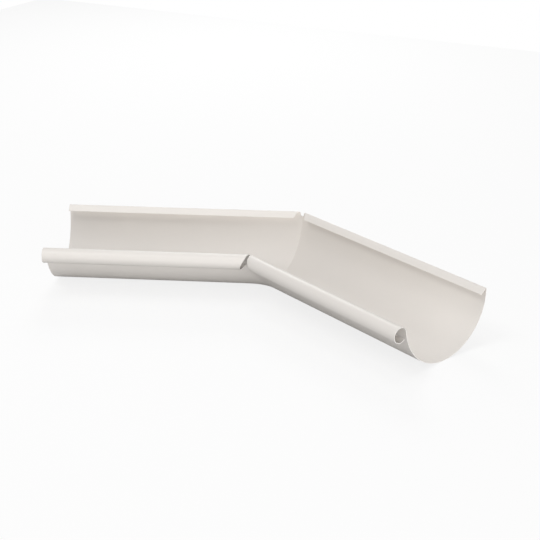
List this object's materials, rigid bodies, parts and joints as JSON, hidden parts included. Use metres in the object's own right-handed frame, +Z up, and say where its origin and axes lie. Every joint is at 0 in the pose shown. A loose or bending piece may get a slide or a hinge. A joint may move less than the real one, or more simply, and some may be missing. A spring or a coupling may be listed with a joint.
{
  "type": "gutter inside miter",
  "caption": "Half-round gutter corner piece that turns an inside corner of a roof edge, with a rolled front bead and a folded back edge.",
  "frame": {"origin": "centre of the bounding box in plan, at the underside the part lies on", "axes": "+Z up toward the open top, -Y toward the bead and the inside of the corner, X across the two legs, which mirror each other in the YZ plane"},
  "size_m": [0.5544, 0.2457, 0.0679],
  "materials": {
    "coated_steel": "satin"
  },
  "bodies": {
    "root": {"gutter_miter": "coated_steel"}
  },
  "joints": []
}
